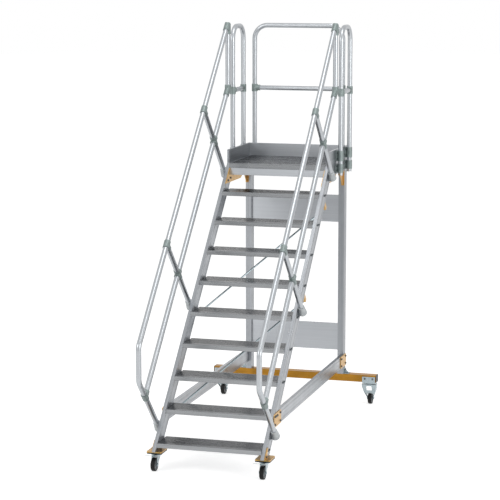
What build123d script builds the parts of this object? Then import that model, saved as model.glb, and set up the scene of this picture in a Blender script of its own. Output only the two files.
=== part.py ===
from build123d import *
import math
import os

os.makedirs("parts", exist_ok=True)

# A mobile platform stair in millimetres. +Z is up, +Y is the way a person climbs, +X is the
# climber's right. The origin is on the floor, in the middle of the outline seen from above.

# Stair
rise = 208.0  # tread to tread, last tread to deck
going = 208.0  # nose to nose, so the stair climbs at 45 degrees
tread_count = 9
tread_length = 800.0
tread_depth = 225.0
tread_height = 34.0
rib_pitch = 10.0
rib_gap = 4.0
rib_depth = 1.6
tread_wall = 3.0
under_tread_gap = 27.0  # from the front casters' plates up to the first tread
plank_corner = 2.0
end_plate = 3.0  # closing the ends of the treads, the deck and the toe boards
tread_bolt_shares = (0.36, 0.52)  # of a tread's depth, from its nose

# Stringers, and the base struts cut from the same extrusion
stringer_thickness = 27.0
stringer_depth = 110.0
stringer_setback = 30.0  # from a tread's nose back to the stringer's front edge, measured level
stringer_wall = 4.0
groove_width = 7.0
groove_depth = 1.6
groove_inset = 22.0  # from the profile's edge to the groove's middle
strut_rise = 61.0  # from the rear cross-beam's top up to the base struts
strut_depth = 105.0

# Platform
platform_length = 648.0  # nose of the deck to the back of the posts
deck_thickness = 38.0
frame_height = 57.0
cross_beam_depth = 50.0
cross_beam_inset = 6.0
frame_wall = 4.0
toe_height = 108.0
toe_thickness = 18.0
toe_overhang = 1.0  # of the toe boards' outer faces past the stringers'
toe_front_setback = 33.0
sheet_wall = 2.0  # of the toe boards and panels
bar_corner = 1.5

# Rear posts and panels
post_width = 50.0
post_depth = 80.0
post_wall = 4.0
panel_height = 226.0
panel_thickness = 25.0
panel_recess = 22.0
upper_panel_drop = 211.0  # from the platform frame down to the upper panel
lower_panel_gap = 35.0  # from the base struts' top up to the lower panel

# Rear cross-beam
beam_height = 60.0
beam_half_length = 712.0
beam_wall = 5.0
beam_corner = 3.0
end_cap_thickness = 5.0

# Rails beside the stair
tube_radius = 20.0
tube_wall = 2.5
rail_gap = 3.0  # between the rails' tubes and the stringers' outer faces
handrail_height = 995.0  # above the line through the noses, measured plumb
knee_height = 470.0
rail_front = 230.0  # from the first nose forward to the handrail's plumb front
rail_bend = 70.0
end_post_back = 126.0  # from the deck's nose back to the plumb end posts
support_along = (192.0, 1292.0)  # up the nose line to the low foot and the middle support
last_support = 40.0  # from the upper support to the deck's nose, down the nose line
foot_drop = 110.0  # from the nose line square to the slope, down to a foot's seat
foot_wall = 14.0  # round the tube at a foot's seat
foot_taper = 6.0
foot_length = 86.0
foot_floor = 24.0  # from a foot's seat up to the end of the tube in it
foot_round = 4.0
joint_wall = 5.0
joint_length = 62.0
socket_wall = 4.2
socket_depth = 25.0
top_joint_length = 84.0
tube_spacing = 2.0  # between a passing tube and the tube that ends beside it
post_tip_height = 2.0  # of an end post above the handrail's middle line at the post
bore_gap = 0.15  # between a tube and the casting it sits in

# Guards round the platform
guard_height = 1092.0  # deck to the middle of the top tube
guard_knee = 570.0
guard_drop = 105.0  # deck down to the ends of the side guard's legs
guard_bend = 112.0
side_guard_front = 293.0  # from the deck's nose back to the front leg
side_guard_span = 310.0
rear_guard_inset = 48.0  # from the toe boards' outer faces in to the rear guard's legs
guard_gap = 10.0  # between the toe boards and the guards' tubes
clamp_height = 84.0
clamp_side = 19.0  # from a leg's side to the clamp's edge
clamp_web = 22.0
clamp_plate = 5.0
clamp_band = 4.0
clamp_inset = 12.0  # from the edges of the beam or toe board behind a clamp
clamp_bolt_inset = 18.0  # from a clamp's upper and lower ends
clamp_bolt_margin = 11.0  # from a clamp's side edges

# Steel plates, angles and braces
plate_thickness = 6.0
edge_setback = 8.0  # of a plate's front edge behind the stringers'
gusset_reach = 380.0  # from the deck's nose back to the gussets' ends
gusset_drop = 60.0  # below the platform frame
gusset_end_drop = 28.0
gusset_slant = 70.0
post_angle_length = 115.0
post_angle_drop = 125.0
post_angle_toe = 16.0  # the depth left at the end under the side beam
post_angle_foot = 22.0  # the depth left at the end on the post
strut_plate_length = 190.0
strut_plate_inset = 2.0  # from a strut's upper and lower edges
strut_plate_corner = 16.0
strut_plate_lead = 18.0  # from the struts' mitres forward to the front plates' middles
strut_plate_lap = 10.0  # from the posts' fronts to the rear plates' middles
strut_bolt_inset = 22.0
foot_angle = 48.0
foot_angle_width = 56.0
foot_rib_thickness = 5.0
foot_rib_inset = 6.0
foot_bolt_reach = 16.0  # from the angles' ribs
foot_bolt_rise = 30.0  # above the cross-beam
gusset_bolts = ((45.0, 20.0), (100.0, 34.0))  # back from a gusset's front edge and up from its foot
brace_radius = 7.0
brace_clearance = 10.0  # from the treads' back edges down to a brace
brace_foot = 24.0  # up a base strut to the lower brace's end
brace_pitch = 900.0  # along the slope from brace to brace
brace_run = 1078.0
brace_tab = 6.0
brace_eye = 13.0
brace_flat = 34.0
brace_cleat = 30.0
lug_thickness = 12.0
lug_width = 21.0
lug_height = 42.0
lug_corner = 4.0

# Bolts
bolt_across = 13.0
bolt_height = 6.0
washer_radius = 9.0
washer_height = 1.5

# Wheels and axles
wheel_radius = 50.0
wheel_width = 32.0
tyre_depth = 12.0
tyre_round = 6.0
axle_radius = 6.0
axle_head = 9.0  # across half its flats
axle_head_height = 5.0
hub_inset = 1.0  # from a tyre's side in to its hub's rim
hub_rim = 5.0
hub_recess = 8.0
boss_wall = 7.0
boss_gap = 0.5  # from a hub's boss to the fork
running_gap = 0.05

# Casters
fork_gap = 4.0  # from a tyre's side to the fork
fork_sheet = 4.0
fork_eye = 15.0
crown_sheet = 5.0
crown_radius = 40.0
front_crown_height = 12.6  # from the front wheels' tops up to their crowns
rear_crown_height = 76.6
head_height = 12.0
head_plate = 92.0
head_plate_sheet = 4.0
race_radius = 30.0
race_taper = -14.0
head_gap = 0.4
king_pin_radius = 8.0
king_pin_collar = 5.0
king_pin_nut = 3.0
plate_corner = 12.0
caster_plate_width = 116.0
caster_plate_length = 146.0
caster_plate_thickness = 8.0
caster_plate_shift = 8.0  # from the swivel back to the plate's middle
pad_thickness = 9.0
front_trail = 50.0
front_swivel_back = 46.0  # from the first nose back to the front swivels
front_leg_reach = (44.0, 30.0)  # of a front fork's legs under the crown, forward and back
rear_trail = 42.0
rear_swivel_inset = 64.0  # from the cross-beam's end in to the rear swivels
rear_crown_half = 62.0
rear_crown_length = 76.0
rear_leg_reach = (38.0, 34.0)
rear_fork_gap = 7.0  # from a tyre's side to the fork at the axle
rear_knee_drop = 35.0  # from a rear wheel's top down to where the legs turn plumb
rear_guard_bar = 35.0
rear_guard_bar_rise = 8.5  # of its middle above a rear wheel's top
rear_guard_bar_back = 10.0
rear_bracket_sheet = 5.0
rear_bracket_length = 110.0
rear_bracket_open = 12.0  # from the cross-beam's top down to the bracket's edges
upright_height = 72.0
upright_edges = (10.0, 24.0, 84.0)  # front setback, top length and foot length
upright_shoulder = 40.0

# Brake pedals
pedal_pin_radius = 3.0
pedal_sleeve = 5.5
pedal_pivot_forward = 36.0  # from the swivel's axis
pedal_pivot_drop = 8.0  # under the crown
pedal_width = 100.0
pedal_reach = 118.0
pedal_neck = 36.0
pedal_tread_start = 26.0
pedal_corner = 14.0
pedal_sheet = 3.0
pedal_tilt = 16.0

# Levels and distances worked out from the sizes above
half_stair = tread_length / 2
stringer_middle = half_stair + stringer_thickness / 2
stringer_outer = half_stair + stringer_thickness
toe_outer = stringer_outer + toe_overhang
toe_inner = toe_outer - toe_thickness
guard_offset = tube_radius + guard_gap
side_guard_x = toe_outer + guard_offset
rear_guard_half = toe_outer - rear_guard_inset
rail_x = stringer_outer + tube_radius + rail_gap
joint_radius = tube_radius + joint_wall
socket_radius = tube_radius + socket_wall
foot_radius = tube_radius + foot_wall
clamp_radius = tube_radius + bore_gap + clamp_band
clamp_width = 2 * (tube_radius + clamp_side)

# Caster levels, up from the wheels
crown_stack = crown_sheet + head_gap + head_height
front_head_top = 2 * wheel_radius + front_crown_height + crown_stack
pad_top = front_head_top + pad_thickness
caster_plate_top = pad_top + caster_plate_thickness
rear_head_top = 2 * wheel_radius + rear_crown_height + crown_stack
beam_bottom = rear_head_top + rear_bracket_sheet
beam_top = beam_bottom + beam_height
beam_middle = beam_bottom + beam_height / 2
fork_half = wheel_width / 2 + fork_gap
fork_outer = fork_half + fork_sheet
rear_fork_half = wheel_width / 2 + rear_fork_gap
rear_fork_outer = rear_fork_half + fork_sheet
rear_swivel_x = beam_half_length - rear_swivel_inset

# Levels of the stair and its frame, up from the casters
first_tread_top = caster_plate_top + under_tread_gap + tread_height
deck_top = first_tread_top + rise * tread_count
frame_top = deck_top - deck_thickness
frame_bottom = frame_top - frame_height
strut_bottom = beam_top + strut_rise
strut_middle = strut_bottom + strut_depth / 2
lower_panel_bottom = strut_bottom + strut_depth + lower_panel_gap
upper_panel_bottom = frame_bottom - upper_panel_drop - panel_height

front_reach = rail_front + tube_radius
rear_wheel_reach = rear_trail + wheel_radius - post_depth / 2
rear_reach = going * tread_count + platform_length + max(rear_wheel_reach, guard_offset + clamp_radius)
first_nose = (front_reach - rear_reach) / 2
deck_nose = first_nose + going * tread_count
deck_back = deck_nose + platform_length
post_front = deck_back - post_depth
post_middle = deck_back - post_depth / 2
post_middle_x = stringer_outer - post_width / 2
rear_guard_y = deck_back + guard_offset

# The slope: "along" runs up the line through the noses from the first one, and "above" is
# square to that line, away from the stair.
slope = math.atan2(rise, going)
slope_length = math.hypot(rise, going) * tread_count
climb = Vector(0, math.cos(slope), math.sin(slope))
lift = Vector(0, -math.sin(slope), math.cos(slope))
up = Vector(0, 0, 1)


def on_slope(x, along, above):
    return Vector(x, first_nose, first_tread_top) + climb * along + lift * above


def along_at(y, above):
    """How far up the nose line a line at this height above it reaches the plane at y."""
    return (y - first_nose + above * math.sin(slope)) / math.cos(slope)


def above_at(y, along):
    """How far above the nose line a line square to it reaches the plane at y."""
    return (along * math.cos(slope) - (y - first_nose)) / math.sin(slope)


def tread_top(number):
    return first_tread_top + rise * (number - 1)


stringer_top = -stringer_setback * math.sin(slope)
stringer_back = stringer_top - stringer_depth
tread_back = -tread_depth * math.sin(slope) - tread_height * math.cos(slope)
handrail_above = handrail_height * math.cos(slope)
knee_above = knee_height * math.cos(slope)
supports = (*support_along, slope_length - last_support)

# From a passing tube's middle line to the end of a tube that joins it: square to it, or up
# the slope to a plumb tube.
joint_reach = joint_length / 2
square_start = tube_radius + tube_spacing
lean_start = (tube_radius + tube_spacing + tube_radius * math.sin(slope)) / math.cos(slope)


def mirrored(solid):
    with BuildPart() as copy:
        mirror(solid, about=Plane.YZ)
    return copy.part


def both_sides(solid):
    return [solid, mirrored(solid)]


def write(node, name):
    """Label one finished piece and write it under its own name."""
    node.label = name
    export_step(node, f"parts/{name}.step")


def write_group(solids, name):
    """Write separate like pieces as one node."""
    write(Compound(children=list(solids)), name)


def rod(start, end, radius):
    direction = end - start
    with BuildPart() as bar:
        with BuildSketch(Plane(origin=start, z_dir=direction)):
            Circle(radius)
        extrude(amount=direction.length)
    return bar.part


def straight_tube(start, end):
    direction = end - start
    with BuildPart() as tube:
        with BuildSketch(Plane(origin=start, z_dir=direction)):
            Circle(tube_radius)
            Circle(tube_radius - tube_wall, mode=Mode.SUBTRACT)
        extrude(amount=direction.length)
    return tube.part


def bent_tube(points, radius):
    with BuildPart() as tube:
        with BuildLine() as path:
            FilletPolyline(*points, radius=radius)
        with BuildSketch(Plane(origin=points[0], z_dir=points[1] - points[0])):
            Circle(tube_radius)
            Circle(tube_radius - tube_wall, mode=Mode.SUBTRACT)
        sweep(path=path.wire())
    return tube.part


def cast_joint(centre, through, branches, start=square_start, below=joint_reach, above=joint_reach):
    """A sleeve round a tube that passes through, with sockets for tubes that end in it."""
    with BuildPart() as joint:
        with BuildSketch(Plane(origin=centre - through * below, z_dir=through)):
            Circle(joint_radius)
        extrude(amount=below + above)
        for branch in branches:
            with BuildSketch(Plane(origin=centre, z_dir=branch)):
                Circle(socket_radius)
            extrude(amount=start + socket_depth)
        for branch in branches:
            with BuildSketch(Plane(origin=centre + branch * (start - 1), z_dir=branch)):
                Circle(tube_radius + bore_gap)
            extrude(amount=socket_depth + 1, mode=Mode.SUBTRACT)
        with BuildSketch(Plane(origin=centre - through * (below + 1), z_dir=through)):
            Circle(tube_radius + bore_gap)
        extrude(amount=below + above + joint_length, mode=Mode.SUBTRACT)
    return joint.part


def hex_bolt(plane):
    """A bolt's head and washer, seated on a face."""
    with BuildPart() as bolt:
        with BuildSketch(plane):
            Circle(washer_radius)
        extrude(amount=washer_height)
        with BuildSketch(plane.offset(washer_height)):
            RegularPolygon(bolt_across / 2, 6, major_radius=False)
        extrude(amount=bolt_height)
    return bolt.part


def side_bolts(x, places):
    """Bolts on an outer side face, facing away from the middle plane, on both sides."""
    heads = [hex_bolt(Plane(origin=(x, y, z), z_dir=(1, 0, 0))) for y, z in places]
    return heads + [mirrored(head) for head in heads]


def side_profile(plane, depth, length):
    """A hollow extrusion, grooved on both broad faces: depth along the plane's Y."""
    cell = (depth - 2 * stringer_wall - 2 * stringer_wall) / 3
    with BuildPart() as profile:
        with BuildSketch(plane):
            Rectangle(stringer_thickness, depth)
            with GridLocations(0, cell + stringer_wall, 1, 3):
                Rectangle(stringer_thickness - 2 * stringer_wall, cell, mode=Mode.SUBTRACT)
            with GridLocations(stringer_thickness, depth - 2 * groove_inset, 2, 2):
                Rectangle(2 * groove_depth, groove_width, mode=Mode.SUBTRACT)
        extrude(amount=length)
    return profile.part


# The back face of the right stringer, with its normal away from the stair's treads.
back_plane = Plane(origin=on_slope(0, 0, stringer_back), x_dir=(1, 0, 0), z_dir=-lift)

# Stringers: cut level at the caster plates and at the deck
stringer_start = on_slope(-stringer_middle, -stringer_depth * 3, (stringer_top + stringer_back) / 2)
stringer_plane = Plane(origin=stringer_start, x_dir=(1, 0, 0), z_dir=climb)
with BuildPart() as stringer_left:
    add(side_profile(stringer_plane, stringer_depth, slope_length + stringer_depth * 6))
    split(bisect_by=Plane.XY.offset(caster_plate_top), keep=Keep.TOP)
    split(bisect_by=Plane.XY.offset(deck_top), keep=Keep.BOTTOM)
write(stringer_left.part, "stringer_left")
with BuildPart() as stringer_right:
    mirror(stringer_left.part, about=Plane.YZ)
write(stringer_right.part, "stringer_right")


def ribbed_plank(nose, top, depth, height):
    """A hollow plank across the stair, closed by a plate at each end: its top is ribbed, with
    a plain strip along its nose."""
    rib_count = int((depth - 4 * rib_pitch) / rib_pitch)
    cell = (depth - 4 * tread_wall) / 3
    with BuildPart() as plank:
        with BuildSketch(Plane.YZ.offset(end_plate - half_stair)):
            with Locations((nose + depth / 2, top - height / 2)):
                RectangleRounded(depth, height, plank_corner)
                with GridLocations(cell + tread_wall, 0, 3, 1):
                    Rectangle(cell, height - 2 * (tread_wall + rib_depth), mode=Mode.SUBTRACT)
            with Locations((nose + depth / 2 + rib_pitch, top)):
                with GridLocations(rib_pitch, 0, rib_count, 1):
                    Rectangle(rib_gap, 2 * rib_depth, mode=Mode.SUBTRACT)
        extrude(amount=tread_length - 2 * end_plate)
    with BuildPart() as cap:
        with BuildSketch(Plane.YZ.offset(half_stair - end_plate)):
            with Locations((nose + depth / 2, top - height / 2 - rib_depth / 2)):
                RectangleRounded(depth, height - rib_depth, plank_corner)
        extrude(amount=end_plate)
    return [plank.part, *both_sides(cap.part)]


# Treads and deck
for number in range(1, tread_count + 1):
    tread_nose = first_nose + going * (number - 1)
    tread = ribbed_plank(tread_nose, tread_top(number), tread_depth, tread_height)
    write_group(tread, f"tread_{number}")
platform_deck = ribbed_plank(deck_nose, deck_top, platform_length, deck_thickness)
write_group(platform_deck, "platform_deck")


def hollow_bar(plane, width, height, wall, length):
    with BuildPart() as bar:
        with BuildSketch(plane):
            RectangleRounded(width, height, bar_corner)
            Rectangle(width - 2 * wall, height - 2 * wall, mode=Mode.SUBTRACT)
        extrude(amount=length)
    return bar.part


# Platform frame: cross-beams under the deck, between the gussets; side beams mitred to the
# stringers
frame_middle = (frame_top + frame_bottom) / 2
cross_half = half_stair - plate_thickness
cross_beams = []
beam_setback = cross_beam_inset + cross_beam_depth / 2
for beam_y in (deck_nose + beam_setback, deck_back - beam_setback):
    beam_plane = Plane(origin=(-cross_half, beam_y, frame_middle), x_dir=(0, 1, 0), z_dir=(1, 0, 0))
    cross_beams.append(
        hollow_bar(beam_plane, cross_beam_depth, frame_height, frame_wall, 2 * cross_half)
    )
write_group(cross_beams, "platform_cross_beams")

side_beam_middle = (deck_top + frame_bottom) / 2
side_beam_plane = Plane(
    origin=(stringer_middle, deck_nose, side_beam_middle), x_dir=(1, 0, 0), z_dir=(0, 1, 0)
)
with BuildPart() as side_beam:
    add(side_profile(side_beam_plane, deck_top - frame_bottom, platform_length))
    split(bisect_by=back_plane, keep=Keep.TOP)
write_group(both_sides(side_beam.part), "platform_side_beams")

# Toe boards
toe_front = deck_nose + toe_front_setback
toe_plane = Plane(
    origin=((toe_inner + toe_outer) / 2, toe_front + end_plate, deck_top + toe_height / 2),
    x_dir=(1, 0, 0),
    z_dir=(0, 1, 0),
)
toe_length = deck_back - toe_front - 2 * end_plate
toe_board = hollow_bar(toe_plane, toe_thickness, toe_height, sheet_wall, toe_length)
toe_ends = []
for end_plane in (toe_plane.offset(-end_plate), toe_plane.offset(toe_length)):
    with BuildPart() as toe_end:
        with BuildSketch(end_plane):
            RectangleRounded(toe_thickness, toe_height, bar_corner)
        extrude(amount=end_plate)
    toe_ends += both_sides(toe_end.part)
write_group([*both_sides(toe_board), *toe_ends], "toe_boards_side")
toe_rear_plane = Plane(
    origin=(-toe_inner, deck_back - toe_thickness / 2, deck_top + toe_height / 2),
    x_dir=(0, 1, 0),
    z_dir=(1, 0, 0),
)
toe_board_rear = hollow_bar(toe_rear_plane, toe_thickness, toe_height, sheet_wall, 2 * toe_inner)
write(toe_board_rear, "toe_board_rear")

# Rear posts, standing on the cross-beam and carrying the side beams
with BuildPart() as rear_post_left:
    with BuildSketch(Plane(origin=(-post_middle_x, post_middle, beam_top))):
        Rectangle(post_width, post_depth)
        Rectangle(post_width - 2 * post_wall, post_depth - 2 * post_wall, mode=Mode.SUBTRACT)
        with GridLocations(0, post_depth, 1, 2):
            Rectangle(groove_width, 2 * groove_depth, mode=Mode.SUBTRACT)
        with GridLocations(post_width, post_depth / 2, 2, 2):
            Rectangle(2 * groove_depth, groove_width, mode=Mode.SUBTRACT)
    extrude(amount=frame_bottom - beam_top)
write(rear_post_left.part, "rear_post_left")
with BuildPart() as rear_post_right:
    mirror(rear_post_left.part, about=Plane.YZ)
write(rear_post_right.part, "rear_post_right")

# Panels between the posts
panel_half = stringer_outer - post_width
panel_y = post_front + panel_recess + panel_thickness / 2
for panel_bottom, panel_name in ((upper_panel_bottom, "upper_panel"), (lower_panel_bottom, "lower_panel")):
    panel_plane = Plane(
        origin=(-panel_half, panel_y, panel_bottom + panel_height / 2), x_dir=(0, 1, 0), z_dir=(1, 0, 0)
    )
    panel = hollow_bar(panel_plane, panel_thickness, panel_height, sheet_wall, 2 * panel_half)
    write(panel, panel_name)

# Rear cross-beam with a groove along its front and back
beam_end = beam_half_length - end_cap_thickness
beam_start_plane = Plane(origin=(-beam_end, post_middle, beam_middle), x_dir=(0, 1, 0), z_dir=(1, 0, 0))
with BuildPart() as rear_crossbeam:
    with BuildSketch(beam_start_plane):
        RectangleRounded(post_depth, beam_height, beam_corner)
        Rectangle(post_depth - 2 * beam_wall, beam_height - 2 * beam_wall, mode=Mode.SUBTRACT)
        with GridLocations(post_depth, 0, 2, 1):
            Rectangle(2 * groove_depth, groove_width, mode=Mode.SUBTRACT)
    extrude(amount=2 * beam_end)
write(rear_crossbeam.part, "rear_crossbeam")

# Base struts, mitred to the stringers' backs and butted against the posts
strut_plane = Plane(
    origin=(stringer_middle, first_nose, strut_middle), x_dir=(1, 0, 0), z_dir=(0, 1, 0)
)
with BuildPart() as base_strut:
    add(side_profile(strut_plane, strut_depth, post_front - first_nose))
    split(bisect_by=back_plane, keep=Keep.TOP)
write_group(both_sides(base_strut.part), "base_struts")

# Rails at the right of the stair; the left ones mirror them
end_post_y = deck_nose + end_post_back
front_rail_y = first_nose - rail_front
low_support = supports[0]
foot_seat = -foot_drop
rail_top = on_slope(rail_x, along_at(end_post_y, handrail_above), handrail_above)
bend_top = on_slope(rail_x, along_at(front_rail_y, handrail_above), handrail_above)
bend_low = on_slope(rail_x, low_support, above_at(front_rail_y, low_support))
tube_seat = foot_seat + foot_floor
handrail_points = [
    rail_top - climb * lean_start,
    bend_top,
    bend_low,
    on_slope(rail_x, low_support, tube_seat),
]
handrail_right = bent_tube(handrail_points, rail_bend)
write(handrail_right, "handrail_right")
handrail_left = mirrored(handrail_right)
write(handrail_left, "handrail_left")

knee_low = on_slope(rail_x, low_support, knee_above)
knee_top = on_slope(rail_x, along_at(end_post_y, knee_above), knee_above)
knee_rail = straight_tube(knee_low + climb * square_start, knee_top - climb * lean_start)
write_group(both_sides(knee_rail), "knee_rails")

post_end = Vector(rail_x, end_post_y, knee_top.Z - joint_reach)
post_tip = Vector(rail_x, end_post_y, rail_top.Z + post_tip_height)
end_post = straight_tube(post_end, post_tip)
write_group(both_sides(end_post), "rail_end_posts")

support_tubes = []
joints = [
    cast_joint(knee_low, lift, [climb]),
    cast_joint(knee_top, up, [-climb], start=lean_start),
    cast_joint(rail_top, up, [-climb], start=lean_start, below=top_joint_length, above=0),
]
for along in supports[1:]:
    hand = on_slope(rail_x, along, handrail_above)
    knee = on_slope(rail_x, along, knee_above)
    joints.append(cast_joint(hand, climb, [-lift]))
    joints.append(cast_joint(knee, climb, [lift, -lift]))
    support_tubes.append(straight_tube(knee + lift * square_start, hand - lift * square_start))
    support_tubes.append(
        straight_tube(on_slope(rail_x, along, tube_seat), knee - lift * square_start)
    )
write_group([copy for tube in support_tubes for copy in both_sides(tube)], "rail_supports")
write_group([copy for joint in joints for copy in both_sides(joint)], "rail_joints")

# Sockets that hold the rails' feet against the stringers' outer faces
foot_sockets = []
for along in supports:
    with BuildPart() as foot_socket:
        with BuildSketch(Plane(origin=on_slope(rail_x, along, foot_seat), z_dir=lift)):
            Circle(foot_radius)
        extrude(amount=foot_length, taper=foot_taper)
        fillet(foot_socket.edges().filter_by(GeomType.CIRCLE), foot_round)
        with BuildSketch(Plane(origin=on_slope(rail_x, along, tube_seat), z_dir=lift)):
            Circle(tube_radius + bore_gap)
        extrude(amount=foot_length, mode=Mode.SUBTRACT)
        split(bisect_by=Plane(origin=(stringer_outer, 0, 0), z_dir=(1, 0, 0)), keep=Keep.TOP)
    foot_sockets.append(foot_socket.part)
write_group([copy for socket in foot_sockets for copy in both_sides(socket)], "rail_foot_sockets")

# Guards round the platform
guard_top = deck_top + guard_height
guard_low = deck_top - guard_drop
guard_front_y = deck_nose + side_guard_front
guard_rear_y = guard_front_y + side_guard_span
side_guard_points = [
    Vector(side_guard_x, guard_front_y, guard_low),
    Vector(side_guard_x, guard_front_y, guard_top),
    Vector(side_guard_x, guard_rear_y, guard_top),
    Vector(side_guard_x, guard_rear_y, guard_low),
]
side_guard = bent_tube(side_guard_points, guard_bend)
write(side_guard, "side_guard_right")
write(mirrored(side_guard), "side_guard_left")
rear_guard_points = [
    Vector(-rear_guard_half, rear_guard_y, guard_low),
    Vector(-rear_guard_half, rear_guard_y, guard_top),
    Vector(rear_guard_half, rear_guard_y, guard_top),
    Vector(rear_guard_half, rear_guard_y, guard_low),
]
rear_guard = bent_tube(rear_guard_points, guard_bend)
write(rear_guard, "rear_guard")

knee_level = deck_top + guard_knee
side_tees = []
for tee_y, towards in ((guard_front_y, Vector(0, 1, 0)), (guard_rear_y, Vector(0, -1, 0))):
    side_tees.append(cast_joint(Vector(side_guard_x, tee_y, knee_level), up, [towards]))
side_knee = straight_tube(
    Vector(side_guard_x, guard_front_y + square_start, knee_level),
    Vector(side_guard_x, guard_rear_y - square_start, knee_level),
)
rear_tee = cast_joint(Vector(rear_guard_half, rear_guard_y, knee_level), up, [Vector(-1, 0, 0)])
rear_knee = straight_tube(
    Vector(-rear_guard_half + square_start, rear_guard_y, knee_level),
    Vector(rear_guard_half - square_start, rear_guard_y, knee_level),
)
write_group([*both_sides(side_knee), rear_knee], "guard_knee_tubes")
all_tees = [copy for tee in (*side_tees, rear_tee) for copy in both_sides(tee)]
write_group(all_tees, "guard_tee_joints")


def guard_clamp(plane, offset, height):
    """A band round a leg on a plate: the plate's back lies on the plane, whose X points out
    to the leg and whose Z points up."""
    with BuildPart() as clamp:
        with BuildSketch(plane):
            with Locations((clamp_plate / 2, 0)):
                Rectangle(clamp_plate, clamp_width)
            with Locations((offset / 2, 0)):
                Rectangle(offset, clamp_web)
            with Locations((offset, 0)):
                Circle(clamp_radius)
                Circle(tube_radius + bore_gap, mode=Mode.SUBTRACT)
        extrude(amount=height)
    return clamp.part


clamp_low = frame_bottom + clamp_inset
clamp_high = deck_top + clamp_inset
low_height = deck_top - frame_bottom - 2 * clamp_inset
clamps = []
for leg_y in (guard_front_y, guard_rear_y):
    toe_face = Plane(origin=(toe_outer, leg_y, clamp_high), x_dir=(1, 0, 0), z_dir=(0, 0, 1))
    beam_face = Plane(origin=(stringer_outer, leg_y, clamp_low), x_dir=(1, 0, 0), z_dir=(0, 0, 1))
    clamps += both_sides(guard_clamp(toe_face, guard_offset, clamp_height))
    clamps += both_sides(guard_clamp(beam_face, side_guard_x - stringer_outer, low_height))
rear_face = Plane(
    origin=(rear_guard_half, deck_back, clamp_high), x_dir=(0, 1, 0), z_dir=(0, 0, 1)
)
clamps += both_sides(guard_clamp(rear_face, guard_offset, clamp_height))
write_group(clamps, "guard_clamps")

# Gussets between the stringers and the platform, and angles at the posts' tops
gusset_low = frame_bottom - gusset_drop
gusset_back = deck_nose + gusset_reach
edge_foot = on_slope(0, 0, stringer_top)


def front_edge_at(z):
    """Where the stringers' front edge is at a height."""
    return edge_foot.Y + (z - edge_foot.Z) / math.tan(slope)


with BuildPart() as gusset:
    with BuildSketch(Plane.YZ.offset(half_stair - plate_thickness)):
        with BuildLine():
            Polyline(
                (front_edge_at(gusset_low) + edge_setback, gusset_low),
                (front_edge_at(frame_top) + edge_setback, frame_top),
                (gusset_back, frame_top),
                (gusset_back, frame_bottom - gusset_end_drop),
                (gusset_back - gusset_slant, gusset_low),
                close=True,
            )
        make_face()
    extrude(amount=plate_thickness)
angle_low = frame_bottom - post_angle_drop
angle_front = post_front - post_angle_length
with BuildPart() as post_angle:
    with BuildSketch(Plane.YZ.offset(stringer_middle - plate_thickness / 2)):
        with BuildLine():
            Polyline(
                (post_front, frame_bottom),
                (angle_front, frame_bottom),
                (angle_front, frame_bottom - post_angle_toe),
                (post_front - post_angle_foot, angle_low),
                (post_front, angle_low),
                close=True,
            )
        make_face()
    extrude(amount=plate_thickness)
    with BuildSketch(Plane.XY.offset(frame_bottom - plate_thickness)):
        with Locations((stringer_middle, (angle_front + post_front) / 2)):
            Rectangle(stringer_thickness, post_angle_length)
    extrude(amount=plate_thickness)
    post_face_middle = (stringer_middle, post_front, (angle_low + frame_bottom) / 2)
    with BuildSketch(Plane(origin=post_face_middle, x_dir=(1, 0, 0), z_dir=(0, -1, 0))):
        Rectangle(stringer_thickness, post_angle_drop)
    extrude(amount=plate_thickness)
write_group([*both_sides(gusset.part), *both_sides(post_angle.part)], "platform_gussets")

# Plates that tie the base struts to the stringers and to the posts
mitre_foot = on_slope(0, 0, stringer_back)
mitre_y = mitre_foot.Y + (strut_middle - mitre_foot.Z) / math.tan(slope)
front_plate_y = mitre_y - strut_plate_lead
rear_plate_y = post_front - strut_plate_lap
strut_plate_height = strut_depth - 2 * strut_plate_inset
strut_plates = []
for plate_y in (front_plate_y, rear_plate_y):
    with BuildPart() as strut_plate:
        with BuildSketch(Plane.YZ.offset(stringer_outer)):
            with Locations((plate_y, strut_middle)):
                RectangleRounded(strut_plate_length, strut_plate_height, strut_plate_corner)
        extrude(amount=plate_thickness)
    strut_plates += both_sides(strut_plate.part)
write_group(strut_plates, "strut_plates")

# Angles that hold the posts down on the cross-beam
with BuildPart() as foot_bracket:
    with BuildSketch(Plane.XZ.offset(-post_middle + foot_angle_width / 2)):
        with BuildLine():
            Polyline(
                (stringer_outer, beam_top),
                (stringer_outer + foot_angle, beam_top),
                (stringer_outer + foot_angle, beam_top + plate_thickness),
                (stringer_outer + plate_thickness, beam_top + plate_thickness),
                (stringer_outer + plate_thickness, beam_top + foot_angle),
                (stringer_outer, beam_top + foot_angle),
                close=True,
            )
        make_face()
    extrude(amount=-foot_angle_width)
    with BuildSketch(Plane.XZ.offset(-post_middle)):
        with BuildLine():
            Polyline(
                (stringer_outer + plate_thickness, beam_top + plate_thickness),
                (stringer_outer + foot_angle - foot_rib_inset, beam_top + plate_thickness),
                (stringer_outer + plate_thickness, beam_top + foot_angle - foot_rib_inset),
                close=True,
            )
        make_face()
    extrude(amount=foot_rib_thickness / 2, both=True)
write_group(both_sides(foot_bracket.part), "post_foot_angles")

# Diagonal braces under the treads. Their ends are bolted to cleats on the stringers' backs,
# and the lowest end to a lug on the left base strut.
brace_above = tread_back - brace_clearance - brace_radius
brace_low = (strut_bottom + brace_foot - on_slope(0, 0, brace_above).Z) / math.sin(slope)
brace_starts = (brace_low, brace_low + brace_pitch)


def brace_tab_at(end, inward):
    """A flat eye at a brace's end, parallel to the slope."""
    with BuildPart() as tab:
        with BuildSketch(Plane(origin=end - lift * (brace_tab / 2), x_dir=inward, z_dir=lift)):
            Circle(brace_eye)
            with Locations((brace_flat / 2, 0)):
                Rectangle(brace_flat, 2 * brace_radius)
        extrude(amount=brace_tab)
    return tab.part


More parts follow.
